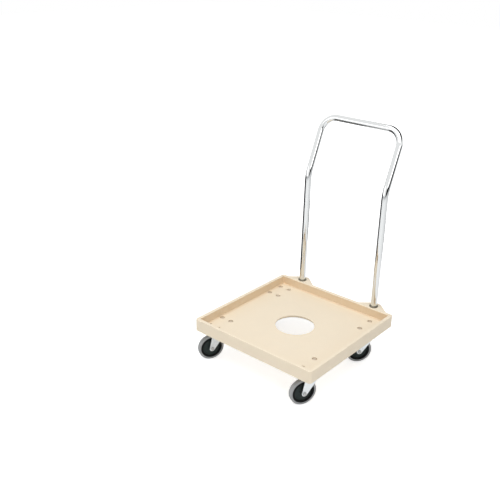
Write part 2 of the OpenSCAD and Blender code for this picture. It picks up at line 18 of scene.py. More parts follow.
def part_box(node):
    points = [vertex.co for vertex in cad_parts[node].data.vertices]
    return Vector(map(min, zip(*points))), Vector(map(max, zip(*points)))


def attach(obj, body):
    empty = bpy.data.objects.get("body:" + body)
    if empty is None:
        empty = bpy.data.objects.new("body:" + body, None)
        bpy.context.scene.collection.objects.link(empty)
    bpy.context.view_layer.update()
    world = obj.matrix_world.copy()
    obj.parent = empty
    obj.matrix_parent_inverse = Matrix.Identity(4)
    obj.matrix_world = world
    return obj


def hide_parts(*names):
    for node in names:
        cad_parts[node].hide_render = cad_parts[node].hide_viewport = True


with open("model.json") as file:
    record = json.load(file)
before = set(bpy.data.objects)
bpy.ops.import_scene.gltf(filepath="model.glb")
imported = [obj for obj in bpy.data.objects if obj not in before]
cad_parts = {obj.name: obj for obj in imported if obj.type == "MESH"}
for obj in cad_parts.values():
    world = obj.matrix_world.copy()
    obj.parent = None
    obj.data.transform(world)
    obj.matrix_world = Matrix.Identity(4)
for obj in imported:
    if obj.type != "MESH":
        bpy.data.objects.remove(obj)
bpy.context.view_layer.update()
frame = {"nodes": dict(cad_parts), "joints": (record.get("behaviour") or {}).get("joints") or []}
CORNERS = ["front_left", "front_right", "back_left", "back_right"]
JOINTS = {joint["name"]: joint for joint in frame["joints"]}

# %% [markdown]
# ## Sizes
# A few sizes are needed again here, and most are the ones that the CAD model
# uses. The handle's lower bend has a larger radius than the CAD's, because the
# picture shows a gentler bend, and the tube moves by about a millimetre at most.
# Where a piece sits, and most of its size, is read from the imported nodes.

# %% Sizes of the dolly's parts
MM = 0.001
TUBE_R = 12.7 * MM
LOWER_BEND_R = 160 * MM
CORNER_BEND_R = 60 * MM
LEAN = math.radians(22)
BEND_Z = 652 * MM
AXLE_D = 8 * MM
BOLT_D = 8 * MM


def reach_round(node, joint):
    """Smallest and largest radius about a joint's axis, and the largest reach along it."""
    centre, axis = Vector(JOINTS[joint]["pos_m"]), Vector(JOINTS[joint]["axis"]).normalized()
    radii, reach = [], []
    for vertex in frame["nodes"][node].data.vertices:
        off = vertex.co - centre
        reach.append(abs(off.dot(axis)))
        radii.append((off - axis * off.dot(axis)).length)
    return min(radii), max(radii), max(reach)


_, WHEEL_R, TREAD_HALF = reach_round("tread_front_left", "wheel_front_left")
BORE_R, CORE_R, HUB_HALF = reach_round("wheel_core_front_left", "wheel_front_left")
TREAD_IN, RIM_DEEP = CORE_R + 0.05 * MM, 8.5 * MM
_, _, SLEEVE_HALF = reach_round("axle_sleeve_front_left", "wheel_front_left")
FORK_OUT = round(SLEEVE_HALF + 3 * MM, 5)

tray_low, tray_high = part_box("tray")
rim_z = tray_high.z
deck_half = (tray_high.x - tray_low.x) / 2
deck_y = tray_low.y + deck_half
RIM_W, SKIRT_DEPTH = 14 * MM, 48 * MM
skirt_z = rim_z - SKIRT_DEPTH
print("rim at", round(rim_z, 4), "tray centre y", round(deck_y, 4))
print("tread", TREAD_IN, WHEEL_R, TREAD_HALF, "hub", BORE_R, HUB_HALF, "fork", FORK_OUT)

# %% [markdown]
# ## Camera
# The camera stands where the photographer stood. Its place was found by fitting
# the tray's corners, the wheels and the handle, so the angles below are those of
# the picture: about 40 degrees round to the right and 24 degrees above the tray.
# Distances were solved in units of the tray's side, and the lens in pixels.

# %% Place the camera
UNIT = 0.543


def add_object(name, data):
    """Put new data into the scene as an object."""
    made = bpy.data.objects.new(name, data)
    bpy.context.scene.collection.objects.link(made)
    return made


AZIMUTH, ELEVATION, ROLL = (math.radians(a) for a in (39.9925, 23.5693, 1.3803))
DISTANCE, SHIFT_X, SHIFT_Y = 5.0345, 0.3202, -0.4725
FOCAL_PX, FRAME_PX, SENSOR = 712.4178, 500, 36.0

back = Vector(
    (
        math.sin(AZIMUTH) * math.cos(ELEVATION),
        -math.cos(AZIMUTH) * math.cos(ELEVATION),
        math.sin(ELEVATION),
    )
)
level = Vector((math.cos(AZIMUTH), math.sin(AZIMUTH), 0))
upright = back.cross(level)
right = level * math.cos(ROLL) + upright * math.sin(ROLL)
up = upright * math.cos(ROLL) - level * math.sin(ROLL)
place = Vector((0, deck_y, rim_z)) + UNIT * (DISTANCE * back - SHIFT_X * right - SHIFT_Y * up)

camera_data = bpy.data.cameras.new("camera")
camera_data.sensor_width = SENSOR
camera_data.lens = FOCAL_PX * SENSOR / FRAME_PX
camera = add_object("camera", camera_data)
turn = Matrix((right, up, back)).transposed().to_4x4()
camera.matrix_world = Matrix.Translation(place) @ turn
bpy.context.scene.camera = camera
print("camera at", [round(v, 3) for v in place], "lens", round(camera_data.lens, 2))

# %% [markdown]
# ## Helpers for materials
# Shader nodes are wired up by hand in the editor. In a script it helps to have
# one short function that adds a node and sets its inputs, so that each finish
# reads like a recipe.

# %% Node helpers
def add_node(tree, kind, inputs=None, **settings):
    """Add a node, set its properties, and fill or link its inputs."""
    made = tree.nodes.new(kind)
    for key, value in settings.items():
        setattr(made, key, value)
    for key, value in (inputs or {}).items():
        if isinstance(value, bpy.types.NodeSocket):
            tree.links.new(value, made.inputs[key])
        else:
            made.inputs[key].default_value = value
    return made


def maths(tree, operation, first, second=0.0, clamp=False):
    """A Math node on two values or sockets."""
    return add_node(
        tree, "ShaderNodeMath", {0: first, 1: second}, operation=operation, use_clamp=clamp
    ).outputs[0]


def times(tree, first, second, clamp=False):
    """Multiply two values or sockets."""
    return maths(tree, "MULTIPLY", first, second, clamp)


def plus(tree, first, second, clamp=False):
    """Add two values or sockets."""
    return maths(tree, "ADD", first, second, clamp)


def minus(tree, first, second, clamp=False):
    """Take the second value or socket from the first."""
    return maths(tree, "SUBTRACT", first, second, clamp)


def blend(tree, factor, first, second):
    """Mix two colours."""
    made = add_node(tree, "ShaderNodeMix", data_type="RGBA")
    for socket, value in ((made.inputs[0], factor), (made.inputs[6], first), (made.inputs[7], second)):
        if isinstance(value, bpy.types.NodeSocket):
            tree.links.new(value, socket)
        elif isinstance(value, tuple):
            socket.default_value = (*value, 1)
        else:
            socket.default_value = value
    return made.outputs[2]


def object_place(tree):
    """Where a point lies on its object, in metres."""
    return add_node(tree, "ShaderNodeTexCoord").outputs["Object"]


def noise(tree, vector, scale, detail, **more):
    """Cloudy noise between 0 and 1."""
    inputs = {"Vector": vector, "Scale": scale, "Detail": detail, **more}
    return add_node(tree, "ShaderNodeTexNoise", inputs).outputs["Fac"]


def new_group(name, inputs, outputs):
    """An empty shader node group with named sockets."""
    tree = bpy.data.node_groups.new(name, "ShaderNodeTree")
    for label, kind, default in inputs:
        socket = tree.interface.new_socket(label, in_out="INPUT", socket_type=kind)
        socket.default_value = default
    for label, kind in outputs:
        tree.interface.new_socket(label, in_out="OUTPUT", socket_type=kind)
    return tree, tree.nodes.new("NodeGroupInput"), tree.nodes.new("NodeGroupOutput")


def use_group(tree, group, **inputs):
    """Place a group in a material with its own values, and return its one output."""
    made = add_node(tree, "ShaderNodeGroup", node_tree=group)
    for label, value in inputs.items():
        made.inputs[label.replace("_", " ").title()].default_value = value
    return made.outputs[0]


print("node helpers ready")

# %% [markdown]
# ## Effects that several finishes share
# Real surfaces are never even. Four effects come back on this dolly, and each is
# a node group, so that every material can use it at its own scale. The first two
# are a slow drift of tone, which is cloudy noise round 1, and the fine grain that
# a mould or a plating bath leaves, which is small cells with noise on top.

# %% Tone drift and grain groups
tone_group, tone_in, tone_out = new_group(
    "tone_drift",
    [("Scale", "NodeSocketFloat", 10.0), ("Amount", "NodeSocketFloat", 0.1)],
    [("Tone", "NodeSocketFloat")],
)
place_of = object_place(tone_group)
cloud = noise(tone_group, place_of, tone_in.outputs["Scale"], 4.0, Roughness=0.55)
centred = minus(tone_group, cloud, 0.5)
scaled = times(tone_group, centred, tone_in.outputs["Amount"])
tone_group.links.new(plus(tone_group, scaled, 1.0), tone_out.inputs["Tone"])

grain_group, grain_in, grain_out = new_group(
    "fine_grain",
    [("Scale", "NodeSocketFloat", 900.0), ("Amount", "NodeSocketFloat", 1.0)],
    [("Height", "NodeSocketFloat")],
)
place_of = object_place(grain_group)
cells = add_node(
    grain_group, "ShaderNodeTexVoronoi", {"Vector": place_of, "Scale": grain_in.outputs["Scale"]}
)
speckle = noise(grain_group, place_of, grain_in.outputs["Scale"], 3.0)
both = plus(grain_group, cells.outputs["Distance"], speckle)
grain_group.links.new(
    times(grain_group, both, grain_in.outputs["Amount"]), grain_out.inputs["Height"]
)
print("groups:", tone_group.name, grain_group.name)

# %% [markdown]
# ## Scratches and dust
# A hairline is where stretched noise crosses its middle value, shown only in
# patches, because things rub in some places and not in others. Dust lies on what
# faces up, in clumps. The surface's own normal says how far it faces up.

# %% Scratch and dust groups
scratch_group, scratch_in, scratch_out = new_group(
    "hairlines",
    [
        ("Scale", "NodeSocketFloat", 30.0),
        ("Stretch", "NodeSocketVector", (1.0, 12.0, 1.0)),
        ("Amount", "NodeSocketFloat", 1.0),
    ],
    [("Mask", "NodeSocketFloat")],
)
place_of = object_place(scratch_group)
drawn = add_node(
    scratch_group,
    "ShaderNodeVectorMath",
    {0: place_of, 1: scratch_in.outputs["Stretch"]},
    operation="MULTIPLY",
).outputs[0]
threads = noise(scratch_group, drawn, scratch_in.outputs["Scale"], 6.0, Distortion=0.4)
ridge = maths(scratch_group, "ABSOLUTE", minus(scratch_group, threads, 0.5))
thin = minus(scratch_group, 1.0, times(scratch_group, ridge, 45.0), clamp=True)
patches = noise(scratch_group, place_of, 6.0, 2.0)
where = times(scratch_group, minus(scratch_group, patches, 0.45), 5.0, True)
shown = times(scratch_group, thin, where)
scratch_group.links.new(
    times(scratch_group, shown, scratch_in.outputs["Amount"]), scratch_out.inputs["Mask"]
)

dust_group, dust_in, dust_out = new_group(
    "settled_dust",
    [("Scale", "NodeSocketFloat", 40.0), ("Amount", "NodeSocketFloat", 0.3)],
    [("Mask", "NodeSocketFloat")],
)
place_of = object_place(dust_group)
facing = add_node(dust_group, "ShaderNodeNewGeometry").outputs["Normal"]
height = add_node(dust_group, "ShaderNodeSeparateXYZ", {0: facing}).outputs["Z"]
upward = times(dust_group, plus(dust_group, height, 0.4), 0.7, True)
clumps = noise(dust_group, place_of, dust_in.outputs["Scale"], 8.0, Roughness=0.7)
soft = times(dust_group, minus(dust_group, clumps, 0.35), 2.2, True)
lying = times(dust_group, upward, soft)
dust_group.links.new(
    times(dust_group, lying, dust_in.outputs["Amount"], True), dust_out.inputs["Mask"]
)
print("groups:", scratch_group.name, dust_group.name)

# %% [markdown]
# ## A blank material
# Each finish starts from the Principled shader. Even values sit on the shader's
# own sockets. What varies over the surface is linked in afterwards: a colour, a
# roughness, and a grain that only tilts the light, because it is finer than any
# mesh would be.

# %% A blank material to build on
def new_material(name, colour, roughness, **settings):
    """A material with its Principled shader; even values sit on the shader's own sockets."""
    made = bpy.data.materials.new(name)
    made.use_nodes = True
    made.diffuse_color = (*colour, 1)
    shader = made.node_tree.nodes["Principled BSDF"]
    shader.inputs["Base Color"].default_value = (*colour, 1)
    shader.inputs["Roughness"].default_value = roughness
    for key, value in settings.items():
        shader.inputs[key.replace("_", " ")].default_value = value
    return made, made.node_tree, shader


def feed(tree, shader, colour, roughness):
    """Link a varying colour and roughness to the shader."""
    tree.links.new(colour, shader.inputs["Base Color"])
    tree.links.new(roughness, shader.inputs["Roughness"])


def set_bump(tree, shader, height, distance, strength):
    """Feed a height into the shader's normal, with its depth in metres."""
    bump = add_node(
        tree, "ShaderNodeBump", {"Height": height, "Distance": distance, "Strength": strength}
    )
    tree.links.new(bump.outputs["Normal"], shader.inputs["Normal"])


def set_grain(tree, shader, scale, distance, strength):
    """Fine even grain over the whole surface."""
    grain = use_group(tree, grain_group, scale=scale, amount=1.0)
    set_bump(tree, shader, grain, distance, strength)


print("material helper ready")

# %% [markdown]
# ## Cream plastic
# The tray is one moulding in a warm cream plastic, matt and a little waxy. The
# mould leaves a fine grain, loads that slide on and off leave hairlines on the
# floor and the rim, and the tone drifts very slightly over such a big part.
# Along the foot of the inner walls the plastic is painted a shade browner.
# This is painted shade, standing in for the shade and warm bounced light in the
# tray's inner corners. The painted shade follows the distance to the walls,
# which is worked out from the tray's own sizes.

# %% Cream plastic
CREAM = (0.87, 0.755, 0.58)
# painted shade: how strongly the foot of the inner walls is painted browner
WALL_SHADE_AMOUNT = 0.8
cream, tree, shader = new_material("cream_plastic", CREAM, 0.5, IOR=1.49)
drift = use_group(tree, tone_group, scale=5.0, amount=0.10)
fleck = use_group(tree, tone_group, scale=160.0, amount=0.05)
lines = use_group(tree, scratch_group, scale=9.0, stretch=(1.0, 7.0, 1.0), amount=0.5)
cross = use_group(tree, scratch_group, scale=8.0, stretch=(8.0, 1.3, 1.0), amount=0.4)
scuffs = maths(tree, "MAXIMUM", lines, cross)
dust = use_group(tree, dust_group, scale=22.0, amount=0.10)
tone = times(tree, drift, fleck)
even = blend(tree, minus(tree, 1.0, tone), CREAM, (0.70, 0.56, 0.38))
# painted shade along the foot of the inner walls, where the tray's corners are in shade
spot = add_node(tree, "ShaderNodeSeparateXYZ", {0: object_place(tree)})
across = maths(tree, "ABSOLUTE", spot.outputs["X"])
deep = maths(tree, "ABSOLUTE", minus(tree, spot.outputs["Y"], deck_y))
from_middle = maths(tree, "MAXIMUM", across, deep)
wall_inside = deck_half - RIM_W
near_wall = times(tree, minus(tree, from_middle, wall_inside - 14 * MM), 55.0, True)
beyond = times(tree, minus(tree, wall_inside + 3 * MM, from_middle), 600.0, True)
below_rim = times(tree, minus(tree, rim_z - 1 * MM, spot.outputs["Z"]), 300.0, True)
wall_shade = times(tree, times(tree, near_wall, beyond), below_rim)
wall_shade = times(tree, wall_shade, times(tree, drift, WALL_SHADE_AMOUNT))
wall_shaded = blend(tree, wall_shade, even, (0.66, 0.46, 0.26))
rubbed = blend(tree, times(tree, scuffs, 0.35), wall_shaded, (0.90, 0.82, 0.70))
rough = plus(tree, plus(tree, times(tree, drift, 0.5), -0.02), times(tree, scuffs, 0.12))
feed(tree, shader, blend(tree, dust, rubbed, (0.66, 0.60, 0.50)), rough)
grain = use_group(tree, grain_group, scale=1400.0, amount=1.0)
set_bump(tree, shader, minus(tree, grain, times(tree, scuffs, 1.5)), 0.00006, 0.5)
print("made", cream.name)

# %% [markdown]
# ## Chrome
# The handle is a bright plated tube. Chrome is a mirror with a faintly cool grey
# of its own. What keeps it from looking computed is the very fine lines that
# polishing left round the legs, and the warmer haze that hands leave on it.

# %% Chrome
CHROME = (0.77, 0.785, 0.785)
chrome, tree, shader = new_material("bright_chrome", CHROME, 0.06, Metallic=1.0)
haze = use_group(tree, tone_group, scale=16.0, amount=1.0)
rubs = use_group(tree, scratch_group, scale=60.0, stretch=(1.0, 1.0, 8.0), amount=1.0)
cloudy = times(tree, minus(tree, haze, 0.9), 0.25, True)
rough = plus(tree, plus(tree, times(tree, cloudy, 0.5), 0.04), times(tree, rubs, 0.06))
feed(tree, shader, blend(tree, cloudy, CHROME, (0.66, 0.645, 0.62)), rough)
set_bump(tree, shader, rubs, 0.00001, 0.3)
print("made", chrome.name)

# %% [markdown]
# ## Bright zinc
# The casters' forks and plates are pressed steel with bright zinc on it. Zinc is
# whiter and duller than chrome, with a faint blue cast, a cloudy bath pattern
# and the fine drag lines of the press.

# %% Bright zinc
ZINC = (0.82, 0.86, 0.875)
zinc, tree, shader = new_material("bright_zinc", ZINC, 0.3, Metallic=0.85)
bath = use_group(tree, tone_group, scale=45.0, amount=0.35)
drags = use_group(tree, scratch_group, scale=70.0, stretch=(1.0, 1.0, 9.0), amount=1.0)
dust = use_group(tree, dust_group, scale=90.0, amount=0.25)
cloudy = blend(tree, minus(tree, bath, 0.85, True), ZINC, (0.68, 0.71, 0.74))
rough = plus(tree, times(tree, bath, 0.28), times(tree, dust, 0.5))
feed(tree, shader, blend(tree, dust, cloudy, (0.55, 0.53, 0.50)), rough)
set_bump(tree, shader, drags, 0.00003, 0.4)
print("made", zinc.name)

# %% [markdown]
# ## Tan zinc with painted shade
# The bolts in the tray's floor stand in rinse water every day. Their zinc has
# gone dull, with darker freckles, so it mirrors little. Its tan colour is painted:
# painted shade from the seats the heads sit in, and a painted reflection of the
# cream plastic round them.

# %% Tan zinc with painted shade
# tan colour: painted shade and a painted reflection of the cream plastic round the bolts
TAN_SHADE = (0.60, 0.50, 0.385)
worn_zinc, tree, shader = new_material("worn_zinc", TAN_SHADE, 0.55, Metallic=0.15)
freckles = use_group(tree, tone_group, scale=420.0, amount=0.9)
dust = use_group(tree, dust_group, scale=200.0, amount=0.45)
spotted = blend(tree, minus(tree, freckles, 0.85, True), TAN_SHADE, (0.43, 0.35, 0.26))
feed(tree, shader, blend(tree, dust, spotted, (0.69, 0.59, 0.46)), times(tree, freckles, 0.48))
set_grain(tree, shader, 1500.0, 0.00005, 0.5)
print("made", worn_zinc.name)

# %% [markdown]
# ## Plain steel
# Balls, races, sleeves, plugs, axle bolts and their nuts are drawn as steel
# without plating: darker than zinc, with an even satin and a film of oil.

# %% Plain steel
STEEL = (0.49, 0.50, 0.495)
steel, tree, shader = new_material("plain_steel", STEEL, 0.24, Metallic=1.0)
film = use_group(tree, tone_group, scale=60.0, amount=0.5)
turned = use_group(tree, scratch_group, scale=120.0, stretch=(1.0, 1.0, 20.0), amount=1.0)
oiled = blend(tree, minus(tree, film, 0.8, True), STEEL, (0.33, 0.33, 0.32))
feed(tree, shader, oiled, times(tree, film, 0.24))
set_bump(tree, shader, turned, 0.00002, 0.3)
print("made", steel.name)

# %% [markdown]
# ## Dark brown steel
# The two collars at the handle's feet are given a dark, dull brown, duller than
# the parts round them, so each draws a dark ring round its leg.

# %% Dark brown steel
DARK_BROWN = (0.13, 0.12, 0.09)
dark_brown, tree, shader = new_material("browned_steel", DARK_BROWN, 0.42, Metallic=0.5)
bloom = use_group(tree, tone_group, scale=240.0, amount=0.9)
dust = use_group(tree, dust_group, scale=180.0, amount=0.25)
spotted = blend(tree, minus(tree, bloom, 0.8, True), DARK_BROWN, (0.22, 0.19, 0.13))
feed(tree, shader, blend(tree, dust, spotted, (0.34, 0.31, 0.25)), times(tree, bloom, 0.42))
set_grain(tree, shader, 1300.0, 0.00004, 0.5)
print("made", dark_brown.name)

# %% [markdown]
# ## Wheel core
# The wheel's hub, web and rim are one black moulding. The rim, which the tyre
# grips, is painted near-black: partly its own glossy black, partly painted shade
# in its corner against the tyre. The web is painted a lighter green-grey, which
# is a painted sheen, spread unevenly by a tone drift. The radius from the axle
# is kept on the mesh of each turned part, and tells the finish where the rim
# begins.

# %% Black plastic
BLACK, WEB_SHEEN_GREY = (0.004, 0.005, 0.005), (0.032, 0.042, 0.040)
black, tree, shader = new_material("black_plastic", BLACK, 0.42, IOR=1.2)
sheen = use_group(tree, tone_group, scale=55.0, amount=0.6)
dust = use_group(tree, dust_group, scale=80.0, amount=0.10)
radius = add_node(tree, "ShaderNodeAttribute", attribute_name="from_axle").outputs["Fac"]
# painted light: the web's lighter green-grey is a painted sheen, and the rim's near-black is partly painted
# shade
on_web = times(tree, minus(tree, CORE_R - RIM_DEEP, radius), 1500.0, True)
body = blend(tree, times(tree, on_web, sheen), BLACK, WEB_SHEEN_GREY)
rough = plus(tree, times(tree, sheen, 0.40), times(tree, dust, 0.8))
feed(tree, shader, blend(tree, dust, body, (0.20, 0.20, 0.19)), rough)
set_grain(tree, shader, 1700.0, 0.00004, 0.4)
print("made", black.name)

# %% [markdown]
# ## Grey rubber
# The tread is a soft grey rubber that doesn't mark floors. It is matt all over.
# Rolling leaves uneven soil and fine specks on it, and dust lies on what faces up.

# %% Grey rubber
RUBBER = (0.38, 0.385, 0.39)
rubber, tree, shader = new_material("grey_rubber", RUBBER, 0.62, IOR=1.5)
soil = use_group(tree, tone_group, scale=70.0, amount=0.5)
specks = use_group(tree, tone_group, scale=600.0, amount=0.4)
dust = use_group(tree, dust_group, scale=120.0, amount=0.22)
tone = times(tree, soil, specks)
worn = blend(tree, minus(tree, tone, 0.8, True), (0.34, 0.345, 0.35), (0.46, 0.465, 0.47))
feed(tree, shader, blend(tree, dust, worn, (0.42, 0.41, 0.39)), times(tree, soil, 0.62))
set_grain(tree, shader, 1100.0, 0.00009, 0.5)
print("made", rubber.name)

# %% [markdown]
# ## Nylon
# The ring that grips the thread in each lock nut is milky nylon with a cold cast.
# It is tiny, so a drift of tone and a faint grain are enough, and its roughness
# stays one even value.

# %% Nylon of the lock nuts
NYLON = (0.78, 0.80, 0.82)
nylon, tree, shader = new_material("nylon_insert", NYLON, 0.45, IOR=1.53)
drift = use_group(tree, tone_group, scale=300.0, amount=0.5)
milky = blend(tree, minus(tree, drift, 0.85, True), NYLON, (0.55, 0.60, 0.66))
tree.links.new(milky, shader.inputs["Base Color"])
set_grain(tree, shader, 2500.0, 0.00003, 0.4)
print("made", nylon.name)

# %% [markdown]
# ## Helpers for meshes
# Three ways of making a piece come back below. A turned part is a section that
# is carried round an axis. A pressed or moulded part is a copy of its CAD node
# with its sharp edges softened. What repeats or follows a path is made by
# Geometry Nodes. All of them end as a plain mesh at the origin.


# %% Mesh helpers
def mesh_piece(name, points, faces, *materials):
    """A new object from points and faces, with its normals outward."""
    mesh = bpy.data.meshes.new(name)
    mesh.from_pydata([tuple(p) for p in points], [], faces)
    work = bmesh.new()
    work.from_mesh(mesh)
    bmesh.ops.remove_doubles(work, verts=work.verts, dist=1e-7)
    bmesh.ops.recalc_face_normals(work, faces=work.faces)
    work.to_mesh(mesh)
    work.free()
    for material in materials:
        mesh.materials.append(material)
    return add_object(name, mesh)


def shade(piece, angle=32):
    """Smooth shading that keeps edges sharper than the angle crisp."""
    piece.data.shade_smooth()
    piece.data.set_sharp_from_angle(angle=math.radians(angle))


def bake(piece):
    """Turn a piece's modifiers into its plain mesh."""
    bpy.context.view_layer.update()
    evaluated = piece.evaluated_get(bpy.context.evaluated_depsgraph_get())
    mesh = bpy.data.meshes.new_from_object(evaluated)
    mesh.name = piece.name
    piece.modifiers.clear()
    piece.data = mesh


def seat(piece, body, slot, *nodes):
    """Ride on a body and stand for CAD nodes; the slot is not used."""
    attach(piece, body)
    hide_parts(*nodes)
    print(piece.name, "on", body, "faces", len(piece.data.polygons))


# %% [markdown]
# ## Flat faces with many holes
# The tray's underside is one flat face that winds round dozens of pockets. Cut
# into triangles in the usual way, such a face can spill over its own holes. The
# helper finds each face whose triangles cover more than the face itself, and
# fills it anew with a Delaunay triangulation that respects its outline.

# %% Flat faces that wind round many holes
SPILL, SMALLEST = 1.0005, 1e-8


def refill(piece):
    """Give each flat face whose own triangles would cross its holes a sound set of them."""
    mesh = piece.data
    mesh.calc_loop_triangles()
    covered = [0.0] * len(mesh.polygons)
    for triangle in mesh.loop_triangles:
        covered[triangle.polygon_index] += triangle.area
    faulty = [p.index for p in mesh.polygons if covered[p.index] > SPILL * p.area + SMALLEST]
    work = bmesh.new()
    work.from_mesh(mesh)
    work.faces.ensure_lookup_table()
    for face in [work.faces[index] for index in faulty]:
        across = face.normal.orthogonal().normalized()
        along = face.normal.cross(across)
        corners = list(face.verts)
        flat = [Vector((v.co.dot(across), v.co.dot(along))) for v in corners]
        spots, _, triangles, origin, _, _ = delaunay_2d_cdt(flat, [], [list(range(len(flat)))], 1, 1e-7)
        depth = face.normal * corners[0].co.dot(face.normal)
        found = [
            corners[known[0]] if known else work.verts.new(across * spot.x + along * spot.y + depth)
            for spot, known in zip(spots, origin)
        ]
        number = face.material_index
        work.faces.remove(face)
        for triangle in triangles:
            trio = [found[i] for i in triangle]
            if len(set(trio)) == 3 and not work.faces.get(trio):
                work.faces.new(trio).material_index = number
    work.to_mesh(mesh)
    work.free()
    print(piece.name, "flat faces filled again:", len(faulty))


# %% [markdown]
# ## Softened copies
# A pressed or moulded edge is never sharp, and the small round on it is what
# catches the light. A copy of the CAD node is merged first. Each edge that turns
# sharply gets a bevel weight, and one bevel rounds them all. Weighted normals
# then keep the large flat faces flat right up to the rounds.

# %% Copies of CAD nodes with softened edges
def softened(name, node, radius, material, steps=2, angle=38, crisp_below=-1.0):
    """A merged copy of a CAD node with its sharp edges rounded, apart from those below a height."""
    work = bmesh.new()
    work.from_mesh(frame["nodes"][node].data)
    bmesh.ops.remove_doubles(work, verts=work.verts, dist=2e-6)
    bmesh.ops.dissolve_limit(
        work, angle_limit=math.radians(0.6), verts=work.verts, edges=work.edges, use_dissolve_boundaries=False
    )
    weight = work.edges.layers.float.new("bevel_weight_edge")
    for edge in work.edges:
        sharp = len(edge.link_faces) == 2 and edge.calc_face_angle() > math.radians(angle)
        high = max(v.co.z for v in edge.verts) > crisp_below
        edge[weight] = 1.0 if sharp and high else 0.0
    mesh = bpy.data.meshes.new(name)
    work.to_mesh(mesh)
    work.free()
    mesh.materials.append(material)
    made = add_object(name, mesh)
    bevel = made.modifiers.new("soft_edges", "BEVEL")
    bevel.width, bevel.segments = radius, steps
    bevel.limit_method = "WEIGHT"
    bevel.use_clamp_overlap = True
    bevel.miter_outer = "MITER_ARC"
    bake(made)
    refill(made)
    shade(made)
    weights = made.modifiers.new("flat_stays_flat", "WEIGHTED_NORMAL")
    weights.keep_sharp = True
    bake(made)
    return made


# %% [markdown]
# ## Turned parts
# A ring, a wheel or a tyre is one section carried round an axis, as on a lathe.
# The section is drawn from a few corners, each with its own rounding, so that a
# size can be changed without drawing the outline again.

# %% Turned parts
def rounded(corners, radii, steps=5):
    """A closed outline with its corners rounded; a radius of 0 keeps one sharp."""
    outline = []
    count = len(corners)
    for i in range(count):
        here, radius = Vector(corners[i]), radii[i]
        if radius <= 0:
            outline.append(here)
            continue
        before = (Vector(corners[i - 1]) - here).normalized()
        after = (Vector(corners[(i + 1) % count]) - here).normalized()
        half = math.acos(max(-1, min(1, before.dot(after)))) / 2
        reach = radius / math.tan(half)
        centre = here + (before + after).normalized() * radius / math.sin(half)
        start, end = here + before * reach - centre, here + after * reach - centre
        sweep = math.pi - 2 * half
        side = 1 if start.x * end.y - start.y * end.x > 0 else -1
        for k in range(steps + 1):
            a = side * sweep * k / steps
            c, s = math.cos(a), math.sin(a)
            outline.append(centre + Vector((start.x * c - start.y * s, start.x * s + start.y * c)))
    return outline


def lathe_faces(rows, sides):
    """Quads between neighbouring copies of a closed outline of so many points."""
    faces = []
    for s in range(sides):
        t = (s + 1) % sides
        for k in range(rows):
            m = (k + 1) % rows
            faces.append((s * rows + k, s * rows + m, t * rows + m, t * rows + k))
    return faces


def revolve(name, outline, centre, axis, material, segments):
    """Carry a closed (radius, height) outline round an axis through a centre."""
    axis = Vector(axis).normalized()
    across = axis.orthogonal().normalized()
    along = axis.cross(across)
    centre = Vector(centre)
    points = []
    for s in range(segments):
        a = 2 * math.pi * s / segments
        out = across * math.cos(a) + along * math.sin(a)
        points += [centre + out * p[0] + axis * p[1] for p in outline]
    made = mesh_piece(name, points, lathe_faces(len(outline), segments), material)
    from_axle = made.data.attributes.new("from_axle", "FLOAT", "POINT")
    for vertex in made.data.vertices:
        off = vertex.co - centre
        from_axle.data[vertex.index].value = (off - axis * off.dot(axis)).length
    shade(made)
    return made


print("mesh helpers ready")

# %% [markdown]
# ## The tray
# The real tray comes out of one mould: no edge on it is sharp, and below its
# floor it has ribs, pads and a hollow rim. The CAD node has all of that shape,
# and only its small edges are too crisp to catch the light. A merged copy with
# bevelled edges keeps every face where it is. The edges on the skirt's lowest
# plane stay crisp, because with bevels there the one face that winds round every
# pocket tore.

# %% Tray
tray = softened("tray_moulding", "tray", 0.9 * MM, cream, steps=3, crisp_below=skirt_z + 0.1 * MM)
seat(tray, "chassis", "tray", "tray")

# %% [markdown]
# ## The handle
# A tube bent on a former keeps its section along straight runs and round bends.
# That is a rule, and Geometry Nodes can follow it: six points give the path, a
# Fillet Curve bends it at two radii, and a circle is carried along. Changing a
# radius in the tree bends the whole handle anew.

# %% Tree for a bent tube
def geometry_tree(name, inputs):
    """A geometry node tree with named inputs; returns it with its two end nodes."""
    tree = bpy.data.node_groups.new(name, "GeometryNodeTree")
    tree.interface.new_socket("Geometry", in_out="INPUT", socket_type="NodeSocketGeometry")
    for label, kind in inputs:
        tree.interface.new_socket(label, in_out="INPUT", socket_type=kind)
    tree.interface.new_socket("Geometry", in_out="OUTPUT", socket_type="NodeSocketGeometry")
    return tree, tree.nodes.new("NodeGroupInput"), tree.nodes.new("NodeGroupOutput")


def grow(piece, tree, **values):
    """Run a tree on a piece with its inputs set, and keep the result as its mesh."""
    modifier = piece.modifiers.new(tree.name, "NODES")
    modifier.node_group = tree
    sockets = {s.name: s.identifier for s in tree.interface.items_tree if s.in_out == "INPUT"}
    for label, value in values.items():
        modifier[sockets[label.replace("_", " ").title()]] = value
    bake(piece)


